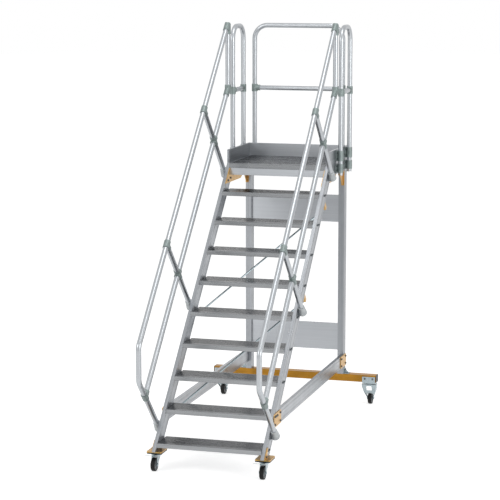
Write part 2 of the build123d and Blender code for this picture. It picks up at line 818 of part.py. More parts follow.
def brace_cleat_at(end):
    with BuildPart() as cleat:
        with BuildSketch(Plane(origin=end + lift * (brace_tab / 2), x_dir=(1, 0, 0), z_dir=lift)):
            Rectangle(stringer_thickness, brace_cleat)
        extrude(amount=stringer_back - brace_above - brace_tab / 2)
    return cleat.part


braces = []
cleats = []
for start in brace_starts:
    low = on_slope(-stringer_middle, start, brace_above)
    high = on_slope(stringer_middle, start + brace_run, brace_above)
    inward = (high - low).normalized()
    on_strut = low.Z < strut_bottom + strut_depth
    if on_strut:
        bar_start = low + inward * ((stringer_thickness / 2 + lug_thickness) / inward.X)
        lug_seat = (-half_stair, bar_start.Y, bar_start.Z)
        with BuildPart() as lug:
            with BuildSketch(Plane(origin=lug_seat, x_dir=(0, 1, 0), z_dir=(1, 0, 0))):
                RectangleRounded(lug_height, lug_width, lug_corner)
            extrude(amount=lug_thickness)
        cleats.append(lug.part)
    else:
        bar_start = low + inward * brace_flat
        cleats.append(brace_cleat_at(low))
    cleats.append(brace_cleat_at(high))
    with BuildPart() as brace:
        add(rod(bar_start, high - inward * brace_flat, brace_radius))
        add(brace_tab_at(high, -inward))
        if on_strut:
            split(bisect_by=Plane.YZ.offset(lug_thickness - half_stair), keep=Keep.TOP)
        else:
            add(brace_tab_at(low, inward))
    braces.append(brace.part)
write_group(braces, "brace_rods")
write_group(cleats, "brace_cleats")

# Black end caps on the cross-beam and on the tops of the end posts
with BuildPart() as beam_cap:
    with BuildSketch(Plane(origin=(beam_end, post_middle, beam_middle), x_dir=(0, 1, 0), z_dir=(1, 0, 0))):
        RectangleRounded(post_depth, beam_height, beam_corner)
    extrude(amount=end_cap_thickness)
with BuildPart() as post_cap:
    with BuildSketch(Plane(origin=post_tip)):
        Circle(tube_radius)
    extrude(amount=end_cap_thickness)
write_group([*both_sides(beam_cap.part), *both_sides(post_cap.part)], "end_caps")

# Casters. Each swivel point is where a caster's plumb axis meets the floor.
front_swivel_y = first_nose + front_swivel_back
caster_plate_y = front_swivel_y + caster_plate_shift
upright_top = caster_plate_top + upright_height
upright_setback, upright_length, upright_foot = upright_edges
upright_foot_y = front_edge_at(caster_plate_top)
upright_top_y = front_edge_at(upright_top)
with BuildPart() as caster_plate:
    with BuildSketch(Plane(origin=(stringer_middle, caster_plate_y, pad_top))):
        RectangleRounded(caster_plate_width, caster_plate_length, plate_corner)
    extrude(amount=caster_plate_thickness)
    with BuildSketch(Plane.YZ.offset(stringer_outer)):
        with BuildLine():
            Polyline(
                (upright_foot_y + upright_setback, caster_plate_top),
                (upright_top_y + upright_setback, upright_top),
                (upright_top_y + upright_setback + upright_length, upright_top),
                (upright_foot_y + upright_foot, upright_top - upright_shoulder),
                (upright_foot_y + upright_foot, caster_plate_top),
                close=True,
            )
        make_face()
    extrude(amount=plate_thickness)
write_group(both_sides(caster_plate.part), "caster_base_plates")
with BuildPart() as caster_pad:
    with BuildSketch(Plane(origin=(stringer_middle, caster_plate_y, front_head_top))):
        RectangleRounded(caster_plate_width, caster_plate_length, plate_corner)
    extrude(amount=pad_thickness)
write_group(both_sides(caster_pad.part), "caster_pads")

# Rear caster brackets: a channel under and round the cross-beam near each end
bracket_top = beam_top - rear_bracket_open
with BuildPart() as rear_bracket:
    with BuildSketch(Plane.YZ.offset(rear_swivel_x - rear_bracket_length / 2)):
        with Locations((post_middle, (rear_head_top + bracket_top) / 2)):
            Rectangle(post_depth + 2 * rear_bracket_sheet, bracket_top - rear_head_top)
        with Locations((post_middle, beam_middle)):
            Rectangle(post_depth, beam_height, mode=Mode.SUBTRACT)
    extrude(amount=rear_bracket_length)
write_group(both_sides(rear_bracket.part), "rear_caster_brackets")


def swivel_head(x, y, top):
    """The part of a caster that stays still: its plate, ball race and king pin."""
    race_low = top - head_height
    pin_length = head_gap + crown_sheet + head_gap
    with BuildPart() as head:
        with BuildSketch(Plane(origin=(x, y, top - head_plate_sheet))):
            RectangleRounded(head_plate, head_plate, plate_corner)
        extrude(amount=head_plate_sheet)
        with BuildSketch(Plane(origin=(x, y, race_low))):
            Circle(race_radius)
        extrude(amount=head_height - head_plate_sheet, taper=race_taper)
        with BuildSketch(Plane(origin=(x, y, race_low))):
            Circle(king_pin_radius)
        extrude(amount=-pin_length)
        with BuildSketch(Plane(origin=(x, y, race_low - pin_length))):
            Circle(king_pin_radius + king_pin_collar)
        extrude(amount=-king_pin_nut)
    return head.part


heads = both_sides(swivel_head(stringer_middle, front_swivel_y, front_head_top))
heads += both_sides(swivel_head(rear_swivel_x, post_middle, rear_head_top))
write_group(heads, "caster_swivel_heads")


def leg_outline(plane, y, top, axle_y, reach):
    """A fork leg seen from the side: broad under the crown, rounded at the axle."""
    reach_front, reach_back = reach
    with BuildSketch(plane) as outline:
        with BuildLine():
            Polyline(
                (y - reach_front, top),
                (y + reach_back, top),
                (axle_y + fork_eye, wheel_radius),
                (axle_y - fork_eye, wheel_radius),
                close=True,
            )
        make_face()
        with Locations((axle_y, wheel_radius)):
            Circle(fork_eye)
    return outline.sketch


def axle_plane(x, axle_y):
    return Plane(origin=(x, axle_y, wheel_radius), z_dir=(1, 0, 0))


front_crown_top = front_head_top - head_height - head_gap
front_crown_low = front_crown_top - crown_sheet
front_axle_y = front_swivel_y - front_trail
pedal_pivot_y = front_swivel_y - pedal_pivot_forward
pedal_pivot_z = front_crown_low - pedal_pivot_drop


def front_fork(x):
    """A crown disc and two flat legs, with the pin that the brake pedal turns on."""
    with BuildPart() as fork:
        with BuildSketch(Plane(origin=(x, front_swivel_y, front_crown_low))):
            Circle(crown_radius)
        extrude(amount=crown_sheet)
        for side in (-1, 1):
            leg_plane = Plane.YZ.offset(x + side * (fork_half + fork_sheet / 2))
            leg = leg_outline(leg_plane, front_swivel_y, front_crown_low, front_axle_y, front_leg_reach)
            extrude(leg, amount=fork_sheet / 2, both=True)
        with BuildSketch(Plane(origin=(x, front_swivel_y, front_crown_top))):
            Circle(king_pin_radius + running_gap)
        extrude(amount=-crown_sheet, mode=Mode.SUBTRACT)
        with BuildSketch(axle_plane(x - fork_outer, front_axle_y)):
            Circle(axle_radius + running_gap)
        extrude(amount=2 * fork_outer, mode=Mode.SUBTRACT)
        with BuildSketch(Plane(origin=(x, pedal_pivot_y, pedal_pivot_z), z_dir=(1, 0, 0))):
            Circle(pedal_pin_radius)
        extrude(amount=fork_outer, both=True)
    return fork.part


rear_crown_low = rear_head_top - head_height - head_gap - crown_sheet
rear_axle_y = post_middle + rear_trail
rear_knee_z = 2 * wheel_radius - rear_knee_drop
rear_leg_lean = (rear_crown_half - rear_fork_outer) / (rear_crown_low - rear_knee_z)


def rear_fork(x):
    """A broad crown with two legs that lean in to the wheel, and a guard across them."""
    leg_foot = wheel_radius - fork_eye - running_gap
    bar_low = 2 * wheel_radius + rear_guard_bar_rise - rear_guard_bar / 2
    bar_low_half = rear_fork_half + fork_sheet / 2 + (bar_low - rear_knee_z) * rear_leg_lean
    bar_high_half = bar_low_half + rear_guard_bar * rear_leg_lean
    with BuildPart() as fork:
        for side in (-1, 1):
            with BuildSketch(Plane.XZ.offset(-post_middle)):
                with BuildLine():
                    Polyline(
                        (x + side * rear_crown_half, rear_crown_low),
                        (x + side * rear_fork_outer, rear_knee_z),
                        (x + side * rear_fork_outer, leg_foot),
                        (x + side * rear_fork_half, leg_foot),
                        (x + side * rear_fork_half, rear_knee_z),
                        (x + side * (rear_crown_half - fork_sheet), rear_crown_low),
                        close=True,
                    )
                make_face()
            extrude(amount=2 * wheel_radius, both=True)
        leg = leg_outline(Plane.YZ.offset(x), post_middle, rear_crown_low, rear_axle_y, rear_leg_reach)
        extrude(leg, amount=rear_crown_half + fork_sheet, both=True, mode=Mode.INTERSECT)
        with BuildSketch(Plane(origin=(x, post_middle, rear_crown_low))):
            RectangleRounded(2 * rear_crown_half, rear_crown_length, plate_corner)
        extrude(amount=crown_sheet)
        with BuildSketch(Plane(origin=(x, post_middle, rear_crown_low))):
            Circle(king_pin_radius + running_gap)
        extrude(amount=crown_sheet, mode=Mode.SUBTRACT)
        with BuildSketch(Plane.XZ.offset(-post_middle - rear_guard_bar_back)):
            with BuildLine():
                Polyline(
                    (x - bar_low_half, bar_low),
                    (x + bar_low_half, bar_low),
                    (x + bar_high_half, bar_low + rear_guard_bar),
                    (x - bar_high_half, bar_low + rear_guard_bar),
                    close=True,
                )
            make_face()
        extrude(amount=fork_sheet)
        with BuildSketch(axle_plane(x - rear_fork_outer, rear_axle_y)):
            Circle(axle_radius + running_gap)
        extrude(amount=2 * rear_fork_outer, mode=Mode.SUBTRACT)
    return fork.part


def axle(x, y, half):
    """An axle bolt: a shank through the fork with a head at each end."""
    with BuildPart() as bolt:
        with BuildSketch(axle_plane(x - half, y)):
            Circle(axle_radius)
        extrude(amount=2 * half)
        for side in (-1, 1):
            with BuildSketch(Plane(origin=(x + side * half, y, wheel_radius), z_dir=(side, 0, 0))):
                RegularPolygon(axle_head, 6, major_radius=False)
            extrude(amount=axle_head_height)
    return bolt.part


tyre_core = wheel_radius - tyre_depth
hub_half = wheel_width / 2 - hub_inset


def tyre(x, y):
    with BuildPart() as ring:
        with BuildSketch(axle_plane(x - wheel_width / 2, y)):
            Circle(wheel_radius)
            Circle(tyre_core, mode=Mode.SUBTRACT)
        extrude(amount=wheel_width)
        fillet(ring.edges().filter_by(GeomType.CIRCLE).sort_by(SortBy.RADIUS)[-2:], tyre_round)
    return ring.part


def hub(x, y, half):
    """A wheel's core: a web inside a rim, with a boss that runs on the axle and almost fills
    the fork, which is open this far to each side."""
    boss_radius = axle_radius + boss_wall
    with BuildPart() as centre:
        with BuildSketch(axle_plane(x, y)):
            Circle(tyre_core)
        extrude(amount=hub_half, both=True)
        for side in (-1, 1):
            with BuildSketch(Plane(origin=(x + side * hub_half, y, wheel_radius), z_dir=(-side, 0, 0))):
                Circle(tyre_core - hub_rim)
                Circle(boss_radius, mode=Mode.SUBTRACT)
            extrude(amount=hub_recess, mode=Mode.SUBTRACT)
        with BuildSketch(axle_plane(x, y)):
            Circle(boss_radius)
        extrude(amount=half - boss_gap, both=True)
        with BuildSketch(axle_plane(x, y)):
            Circle(axle_radius + running_gap)
        extrude(amount=half, both=True, mode=Mode.SUBTRACT)
    return centre.part


def brake_pedal(x):
    """A tread that leans up and forward from a sleeve on the fork's pin."""
    lean = math.radians(pedal_tilt)
    outward = Vector(0, -math.cos(lean), math.sin(lean))
    normal = Vector(0, math.sin(lean), math.cos(lean))
    pivot = Vector(x, pedal_pivot_y, pedal_pivot_z)
    neck_half = fork_half - boss_gap
    tread_length_out = pedal_reach - pedal_tread_start
    with BuildPart() as pedal:
        with BuildSketch(Plane(origin=pivot, z_dir=(1, 0, 0))):
            Circle(pedal_sleeve)
        extrude(amount=neck_half, both=True)
        sheet_base = pivot + normal * (pedal_sleeve - pedal_sheet)
        with BuildSketch(Plane(origin=sheet_base, x_dir=outward, z_dir=normal)):
            with Locations((pedal_neck / 2, 0)):
                Rectangle(pedal_neck, 2 * neck_half)
            with Locations((pedal_tread_start + tread_length_out / 2, 0)):
                RectangleRounded(tread_length_out, pedal_width, pedal_corner)
        extrude(amount=pedal_sheet)
        with BuildSketch(Plane(origin=pivot, z_dir=(1, 0, 0))):
            Circle(pedal_pin_radius + running_gap)
        extrude(amount=fork_half, both=True, mode=Mode.SUBTRACT)
    return pedal.part


for side, side_name in ((-1, "left"), (1, "right")):
    front_x = side * stringer_middle
    rear_x = side * rear_swivel_x
    front_axle = axle(front_x, front_axle_y, fork_outer)
    rear_axle = axle(rear_x, rear_axle_y, rear_fork_outer)
    write_group([front_fork(front_x), front_axle], f"caster_fork_front_{side_name}")
    write_group([rear_fork(rear_x), rear_axle], f"caster_fork_rear_{side_name}")
    write(brake_pedal(front_x), f"brake_pedal_{side_name}")
    write(tyre(front_x, front_axle_y), f"caster_tyre_front_{side_name}")
    write(tyre(rear_x, rear_axle_y), f"caster_tyre_rear_{side_name}")
    write(hub(front_x, front_axle_y, fork_half), f"caster_hub_front_{side_name}")
    write(hub(rear_x, rear_axle_y, rear_fork_half), f"caster_hub_rear_{side_name}")


def corners(middle, reach):
    """Four places round a middle, at a reach to each side of it."""
    return [(middle[0] + i * reach[0], middle[1] + j * reach[1]) for i in (-1, 1) for j in (-1, 1)]


# Bolt heads, each seated on the face that it clamps
plate_face = stringer_outer + plate_thickness
half_plate = strut_plate_length / 2 - strut_bolt_inset
half_strut = strut_depth / 2 - strut_bolt_inset
bolts = []
for plate_y in (front_plate_y, rear_plate_y):
    bolts += side_bolts(plate_face, corners((plate_y, strut_middle), (half_plate, half_strut)))
for number in range(1, tread_count + 1):
    bolt_z = tread_top(number) - tread_height / 2
    for share in tread_bolt_shares:
        bolt_y = first_nose + going * (number - 1) + share * tread_depth
        off_plate_y = abs(bolt_y - front_plate_y) - strut_plate_length / 2
        off_plate_z = abs(bolt_z - strut_middle) - strut_plate_height / 2
        on_plate = max(off_plate_y, off_plate_z) < 0
        bolts += side_bolts(plate_face if on_plate else stringer_outer, [(bolt_y, bolt_z)])
for back, height in gusset_bolts:
    bolt_z = gusset_low + height
    bolt_y = front_edge_at(bolt_z) + edge_setback + back
    gusset_face = Plane(origin=(half_stair - plate_thickness, bolt_y, bolt_z), z_dir=(-1, 0, 0))
    bolts += both_sides(hex_bolt(gusset_face))
for foot_bolt_y in (post_middle - foot_bolt_reach, post_middle + foot_bolt_reach):
    bolts += side_bolts(plate_face, [(foot_bolt_y, beam_top + foot_bolt_rise)])
upright_bolt_y = upright_foot_y + (upright_setback + upright_foot) / 2
bolts += side_bolts(plate_face, [(upright_bolt_y, (caster_plate_top + upright_top - upright_shoulder) / 2)])
across_clamp = clamp_width / 2 - clamp_bolt_margin
high_clamp = clamp_height / 2 - clamp_bolt_inset
low_clamp = low_height / 2 - clamp_bolt_inset
high_middle = clamp_high + clamp_height / 2
low_middle = clamp_low + low_height / 2
for leg_y in (guard_front_y, guard_rear_y):
    bolts += side_bolts(toe_outer + clamp_plate, corners((leg_y, high_middle), (across_clamp, high_clamp)))
    bolts += side_bolts(stringer_outer + clamp_plate, corners((leg_y, low_middle), (across_clamp, low_clamp)))
for bolt_x, bolt_z in corners((rear_guard_half, high_middle), (across_clamp, high_clamp)):
    clamp_face = Plane(origin=(bolt_x, deck_back + clamp_plate, bolt_z), z_dir=(0, 1, 0))
    bolts += both_sides(hex_bolt(clamp_face))
bracket_face_y = post_front - rear_bracket_sheet
bracket_bolt_reach = rear_bracket_length / 2 - strut_bolt_inset
for bolt_x in (rear_swivel_x - bracket_bolt_reach, rear_swivel_x + bracket_bolt_reach):
    bracket_face = Plane(origin=(bolt_x, bracket_face_y, beam_middle), z_dir=(0, -1, 0))
    bolts += both_sides(hex_bolt(bracket_face))
write_group(bolts, "frame_bolts")
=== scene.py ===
import math

import bpy
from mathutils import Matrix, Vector


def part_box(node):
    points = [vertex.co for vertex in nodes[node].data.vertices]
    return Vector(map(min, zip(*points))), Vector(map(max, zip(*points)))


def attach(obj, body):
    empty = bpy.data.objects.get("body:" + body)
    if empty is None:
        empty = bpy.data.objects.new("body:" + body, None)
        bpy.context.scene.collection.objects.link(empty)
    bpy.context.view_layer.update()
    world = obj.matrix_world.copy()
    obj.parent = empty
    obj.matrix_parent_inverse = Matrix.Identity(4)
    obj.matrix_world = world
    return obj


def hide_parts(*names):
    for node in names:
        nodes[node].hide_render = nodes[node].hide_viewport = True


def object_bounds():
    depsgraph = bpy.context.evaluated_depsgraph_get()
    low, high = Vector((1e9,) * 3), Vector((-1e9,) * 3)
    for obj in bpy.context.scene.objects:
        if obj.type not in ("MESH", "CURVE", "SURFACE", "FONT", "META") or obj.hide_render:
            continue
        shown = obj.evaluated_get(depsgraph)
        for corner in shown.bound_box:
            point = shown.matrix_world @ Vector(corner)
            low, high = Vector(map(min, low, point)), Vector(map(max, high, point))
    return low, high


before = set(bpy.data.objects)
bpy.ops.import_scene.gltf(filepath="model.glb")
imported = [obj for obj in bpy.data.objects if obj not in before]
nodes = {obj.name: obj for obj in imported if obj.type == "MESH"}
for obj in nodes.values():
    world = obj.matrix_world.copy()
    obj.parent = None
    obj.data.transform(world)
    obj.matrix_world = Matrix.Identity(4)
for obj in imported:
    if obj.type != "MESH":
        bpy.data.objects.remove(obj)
cad_low, cad_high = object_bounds()


# --- materials ---------------------------------------------------------------------------
# Patterns read Object coordinates in metres, so a scale of 1 / size gives features of that size.

def linear(colour):
    """An sRGB hex colour as a linear one."""
    channels = [int(colour[i:i + 2], 16) / 255 for i in (1, 3, 5)]
    return [c / 12.92 if c <= 0.04045 else ((c + 0.055) / 1.055) ** 2.4 for c in channels] + [1.0]


def add_node(material, kind, settings, **links):
    """Add a shader node, set its properties and sockets, and link its inputs by name."""
    node = material.node_tree.nodes.new(kind)
    for key, value in settings.items():
        if key == "stops":
            for number, (place, colour) in enumerate(value):
                if number < 2:
                    stop = node.color_ramp.elements[number]
                    stop.position = place
                else:
                    stop = node.color_ramp.elements.new(place)
                stop.color = linear(colour)
        elif key in node.inputs:
            node.inputs[key].default_value = value
        else:
            setattr(node, key, value)
    for key, source in links.items():
        material.node_tree.links.new(source, node.inputs[key.replace("_", " ")])
    return node.outputs[0]


def finish(name, settings):
    """A material and its shader, with the shader's own sockets set."""
    material = bpy.data.materials.new(name)
    material.use_nodes = True
    shader = material.node_tree.nodes["Principled BSDF"]
    for key, value in settings.items():
        shader.inputs[key].default_value = value
    return material, shader


def wire(material, shader, **links):
    for key, source in links.items():
        material.node_tree.links.new(source, shader.inputs[key.replace("_", " ")])


# Turns that bring a profile's length onto a pattern's X
ALONG_SLOPE = (math.radians(-45), 0, math.radians(-90))
ALONG_Y = (0, 0, math.radians(-90))
ALONG_X = (0, 0, 0)
UPRIGHT = (0, math.radians(90), 0)


def aluminium(name, turn, dark, light, roughness, spacing):
    """Extruded or drawn aluminium with a satin anodised skin. The die leaves lines along the
    length: they are under 1 mm apart on the real one, and drawn coarser here so that they
    show. Handling leaves broad, faintly duller patches."""
    material, shader = finish(name, {"Metallic": 1.0})
    coordinates = material.node_tree.nodes.new("ShaderNodeTexCoord")
    place = coordinates.outputs["Object"]
    turned = add_node(material, "ShaderNodeMapping", {"Rotation": turn}, Vector=place)
    drawn = add_node(material, "ShaderNodeMapping", {"Scale": (0.7, 1 / spacing, 1 / spacing)}, Vector=turned)
    lines = add_node(material, "ShaderNodeTexNoise", {"Scale": 1.0, "Detail": 4.0}, Vector=drawn)
    cloud = add_node(material, "ShaderNodeTexNoise", {"Scale": 7.0, "Detail": 3.0}, Vector=place)
    colour = add_node(material, "ShaderNodeValToRGB", {"stops": ((0.32, dark), (0.68, light))}, Fac=lines)
    dull = add_node(
        material,
        "ShaderNodeMapRange",
        {"From Min": 0.3, "From Max": 0.7, "To Min": roughness[0], "To Max": roughness[1]},
        Value=cloud,
    )
    relief = add_node(material, "ShaderNodeBump", {"Distance": 0.00001}, Height=lines)
    wire(material, shader, Base_Color=colour, Roughness=dull, Normal=relief)
    return material


def tread_aluminium(name):
    """Mill-finish ribbed extrusion, scuffed in streaks. Faces that point up get a darker colour, which is painted
    shade for the ribbed top; the nose and the under side keep the pale satin of the die."""
    material, shader = finish(name, {"Metallic": 1.0})
    coordinates = material.node_tree.nodes.new("ShaderNodeTexCoord")
    place, facing = coordinates.outputs["Object"], coordinates.outputs["Normal"]
    drawn = add_node(material, "ShaderNodeMapping", {"Scale": (1.2, 260, 260)}, Vector=place)
    lines = add_node(material, "ShaderNodeTexNoise", {"Scale": 1.0, "Detail": 4.0}, Vector=drawn)
    scuffed = add_node(material, "ShaderNodeMapping", {"Scale": (5, 9, 9)}, Vector=place)
    scuffs = add_node(material, "ShaderNodeTexNoise", {"Scale": 1.0, "Detail": 5.0}, Vector=scuffed)
    pale = add_node(
        material, "ShaderNodeValToRGB", {"stops": ((0.3, "#7E8082"), (0.7, "#97999B"))}, Fac=lines
    )
    # A darker copy of the die colour with random scuffs, for faces that point up: painted shade on the ribbed top
    shaded_scuffed_top = add_node(
        material, "ShaderNodeValToRGB", {"stops": ((0.35, "#56585B"), (0.7, "#606265"))}, Fac=scuffs
    )
    parts = material.node_tree.nodes.new("ShaderNodeSeparateXYZ")
    material.node_tree.links.new(facing, parts.inputs[0])
    # Faces that point up take the darker colour: painted shade on the tread tops, chosen by facing, not by wear
    top = add_node(
        material, "ShaderNodeMapRange", {"From Min": 0.3, "From Max": 0.7}, Value=parts.outputs["Z"]
    )
    mixed = material.node_tree.nodes.new("ShaderNodeMix")
    mixed.data_type = "RGBA"
    for source, socket in ((top, 0), (pale, 6), (shaded_scuffed_top, 7)):
        material.node_tree.links.new(source, mixed.inputs[socket])
    dull = add_node(
        material,
        "ShaderNodeMapRange",
        {"From Min": 0.3, "From Max": 0.7, "To Min": 0.2, "To Max": 0.3},
        Value=scuffs,
    )
    relief = add_node(material, "ShaderNodeBump", {"Distance": 0.00006, "Strength": 0.6}, Height=lines)
    wire(material, shader, Base_Color=mixed.outputs[2], Roughness=dull, Normal=relief)
    return material


def clouded(name, settings, stops, roughness, patch, grain, height):
    """A finish with patches of slightly different colour over a fine surface grain: sizes in
    metres."""
    material, shader = finish(name, settings)
    coordinates = material.node_tree.nodes.new("ShaderNodeTexCoord")
    place = coordinates.outputs["Object"]
    patches = add_node(material, "ShaderNodeTexNoise", {"Scale": 1 / patch, "Detail": 4.0}, Vector=place)
    fine = add_node(material, "ShaderNodeTexNoise", {"Scale": 1 / grain, "Detail": 2.0}, Vector=place)
    colour = add_node(material, "ShaderNodeValToRGB", {"stops": stops}, Fac=patches)
    dull = add_node(
        material,
        "ShaderNodeMapRange",
        {"From Min": 0.3, "From Max": 0.7, "To Min": roughness[0], "To Max": roughness[1]},
        Value=patches,
    )
    relief = add_node(material, "ShaderNodeBump", {"Distance": height}, Height=fine)
    wire(material, shader, Base_Color=colour, Roughness=dull, Normal=relief)
    return material


def spangled_zinc(name):
    """Steel with a bright zinc plating, bluish and faintly mottled in grains of a few
    millimetres, with the soft ripple of pressed sheet."""
    material, shader = finish(name, {"Metallic": 1.0})
    coordinates = material.node_tree.nodes.new("ShaderNodeTexCoord")
    place = coordinates.outputs["Object"]
    grains = add_node(material, "ShaderNodeTexVoronoi", {"Scale": 1 / 0.007}, Vector=place)
    ripple = add_node(material, "ShaderNodeTexNoise", {"Scale": 1 / 0.03, "Detail": 2.0}, Vector=place)
    colour = add_node(
        material, "ShaderNodeValToRGB", {"stops": ((0.1, "#95A2A7"), (0.8, "#A6B1B5"))}, Fac=grains
    )
    dull = add_node(
        material,
        "ShaderNodeMapRange",
        {"From Min": 0.3, "From Max": 0.7, "To Min": 0.16, "To Max": 0.32},
        Value=ripple,
    )
    relief = add_node(material, "ShaderNodeBump", {"Distance": 0.0004, "Strength": 0.5}, Height=ripple)
    wire(material, shader, Base_Color=colour, Roughness=dull, Normal=relief)
    return material


PROFILE = ("#8F9296", "#A9ACB0", (0.26, 0.38), 0.003)
TUBE = ("#A2A6AA", "#B7BABD", (0.28, 0.34), 0.003)
stringer_metal = aluminium("anodised_aluminium_stringer", ALONG_SLOPE, *PROFILE)
level_metal = aluminium("anodised_aluminium_level", ALONG_Y, *PROFILE)
post_metal = aluminium("anodised_aluminium_post", UPRIGHT, *PROFILE)
panel_metal = aluminium("anodised_aluminium_panel", ALONG_X, "#AEB1B5", "#B8BBBF", (0.3, 0.42), 0.003)
slanted_tube = aluminium("drawn_aluminium_rail", ALONG_SLOPE, *TUBE)
upright_tube = aluminium("drawn_aluminium_post", UPRIGHT, *TUBE)
level_tube = aluminium("drawn_aluminium_guard", ALONG_X, *TUBE)
tread_metal = tread_aluminium("ribbed_aluminium_tread")
# Sand-cast aluminium, tumbled and left bare: matt, gray-green, with a grain of about 1 mm
joint_casting = clouded(
    "cast_aluminium_joint",
    {"Metallic": 0.6},
    ((0.3, "#76817F"), (0.7, "#8F9A99")),
    (0.4, 0.55),
    0.03,
    0.0016,
    0.0002,
)
# Die-cast aluminium, tumbled bright: paler and smoother than the joints
foot_casting = clouded(
    "pale_cast_aluminium_foot",
    {"Metallic": 0.6},
    ((0.3, "#9A9FA1"), (0.7, "#B6BABB")),
    (0.32, 0.45),
    0.03,
    0.0016,
    0.0001,
)
# Yellow chromate over zinc: thin and clear, so its tone drifts between straw, gold and rose
chromate = clouded(
    "yellow_chromated_steel",
    {"Metallic": 0.85},
    ((0.28, "#B08440"), (0.72, "#D2B478"), (0.45, "#C8A05A"), (0.58, "#BE955F")),
    (0.26, 0.4),
    0.035,
    0.002,
    0.0001,
)
# The cross-beam's plating is thicker and deeper in colour, with a satin skin
ochre = clouded(
    "ochre_plated_beam",
    {"Metallic": 0.55},
    ((0.3, "#96690F"), (0.7, "#B98322"), (0.5, "#A9771A")),
    (0.3, 0.42),
    0.12,
    0.003,
    0.0001,
)
zinc = spangled_zinc("zinc_plated_steel")
# Bolts with a plain dark plating, oiled, so they are uneven and half glossy
bolt_steel = clouded(
    "plated_bolt_steel",
    {"Metallic": 1.0},
    ((0.3, "#4B4F52"), (0.7, "#7C8184")),
    (0.24, 0.42),
    0.006,
    0.0015,
    0.0001,
)
# Moulded tyre rubber: matt black with a faint bloom and a pebbled skin
rubber = clouded(
    "black_tyre_rubber",
    {"Metallic": 0.0, "Specular IOR Level": 0.25},
    ((0.3, "#0A0B0B"), (0.7, "#141516")),
    (0.5, 0.68),
    0.02,
    0.0012,
    0.0002,
)
# Injection-moulded polypropylene with a fine spark-eroded grain
plastic = clouded(
    "black_moulded_plastic",
    {"Metallic": 0.0, "Specular IOR Level": 0.35},
    ((0.3, "#0E0F10"), (0.7, "#17181A")),
    (0.36, 0.48),
    0.02,
    0.0012,
    0.0001,
)
# Moulded gray nylon: slightly waxy
nylon = clouded(
    "gray_nylon",
    {"Metallic": 0.0},
    ((0.3, "#84888B"), (0.7, "#9DA1A4")),
    (0.34, 0.46),
    0.02,
    0.0015,
    0.00005,
)

# The first prefix that fits a node's name gives its finish.
FINISHES = (
    (("tread_", "platform_deck"), tread_metal),
    (("stringer",), stringer_metal),
    (("rail_foot_sockets",), foot_casting),
    (("rail_joints", "guard_tee_joints", "guard_clamps"), joint_casting),
    (("handrail", "knee_rails", "rail_supports"), slanted_tube),
    (("guard_knee",), level_tube),
    (("side_guard", "rear_guard", "rail_end_posts"), upright_tube),
    (("platform_gussets", "strut_plates", "brace_cleats", "caster_base_plates"), chromate),
    (("rear_crossbeam",), ochre),
    (("caster_tyre",), rubber),
    (("caster_hub",), nylon),
    (("caster_pads", "end_caps"), plastic),
    (("frame_bolts",), bolt_steel),
    (("caster_", "rear_caster", "brake_pedal", "brace_rods", "post_foot"), zinc),
    (("rear_post",), post_metal),
    (("upper_panel", "lower_panel", "toe_board_rear", "platform_cross"), panel_metal),
    (("",), level_metal),
)
for name, node in nodes.items():
    node.data.materials.clear()
    node.data.materials.append(next(metal for starts, metal in FINISHES if name.startswith(starts)))


# --- rear caster forks -------------------------------------------------------------------
# Pressed from heavy sheet: two legs that drop almost plumb from the crown, lean in below a
# shoulder and straddle the axle, joined by a front with a window in it.

MM = 0.001
FORK_SHEET = 4 * MM
FORK_CROWN = (124 * MM, 76 * MM, 5 * MM)
CROWN_CORNER = 12 * MM
SWIVEL_BACK = 38 * MM  # from the fork's foremost edge back to its swivel's axis
AXLE_RADIUS = 6 * MM
AXLE_HEAD = 10.4 * MM
AXLE_HEAD_HEIGHT = 5 * MM
# A leg's sections, down from the crown, in mm: height, outer half width, front and back
LEG_SECTIONS = ((178, 62, -37, 34), (150, 58, -27, 38), (106, 47, -8, 50), (62, 28.5, 20, 57), (38, 27.2, 28, 56))
# The front's sheets, each by its lower and upper section: height, left, right and middle
FRONT_SHEETS = (
    ((91, -39, 39, 6), (106, -45, 45, -3), (126, -49, 49, -14)),
    ((126, -49, -22, -14), (178, -60, -22, -34)),
    ((126, 22, 49, -14), (178, 22, 60, -34)),
    ((164, -22, 22, -29), (178, -22, 22, -34)),
)


def settle(piece, width):
    """Round a finished piece's edges and put its place in its mesh."""
    bpy.ops.object.mode_set(mode="OBJECT")
    edge = piece.modifiers.new("soft_edges", "BEVEL")
    edge.width = width
    edge.segments = 2
    bpy.ops.object.modifier_apply(modifier=edge.name)
    bpy.ops.object.transform_apply(location=True, rotation=True, scale=True)
    return piece


def pressed_sheet(swivel, sections):
    """A sheet drawn through level sections, each in mm from the swivel's axis at the floor:
    height, left, right, front and back."""
    places = [
        swivel + Vector(((left + right) / 2, (front + back) / 2, height)) * MM
        for height, left, right, front, back in sections
    ]
    sizes = [((right - left) * MM, (back - front) * MM) for _, left, right, front, back in sections]
    bpy.ops.object.select_all(action="DESELECT")
    bpy.ops.mesh.primitive_plane_add(size=1, location=places[0])
    sheet = bpy.context.object
    bpy.ops.object.mode_set(mode="EDIT")
    bpy.ops.transform.resize(value=(*sizes[0], 1), center_override=places[0])
    for number in range(1, len(sections)):
        step = places[number] - places[number - 1]
        growth = [new / old for new, old in zip(sizes[number], sizes[number - 1])]
        bpy.ops.mesh.extrude_region_move(TRANSFORM_OT_translate={"value": step})
        bpy.ops.transform.resize(value=(*growth, 1), center_override=places[number])
    bpy.ops.mesh.select_all(action="SELECT")
    bpy.ops.mesh.normals_make_consistent(inside=False)
    return settle(sheet, 0.3 * FORK_SHEET)


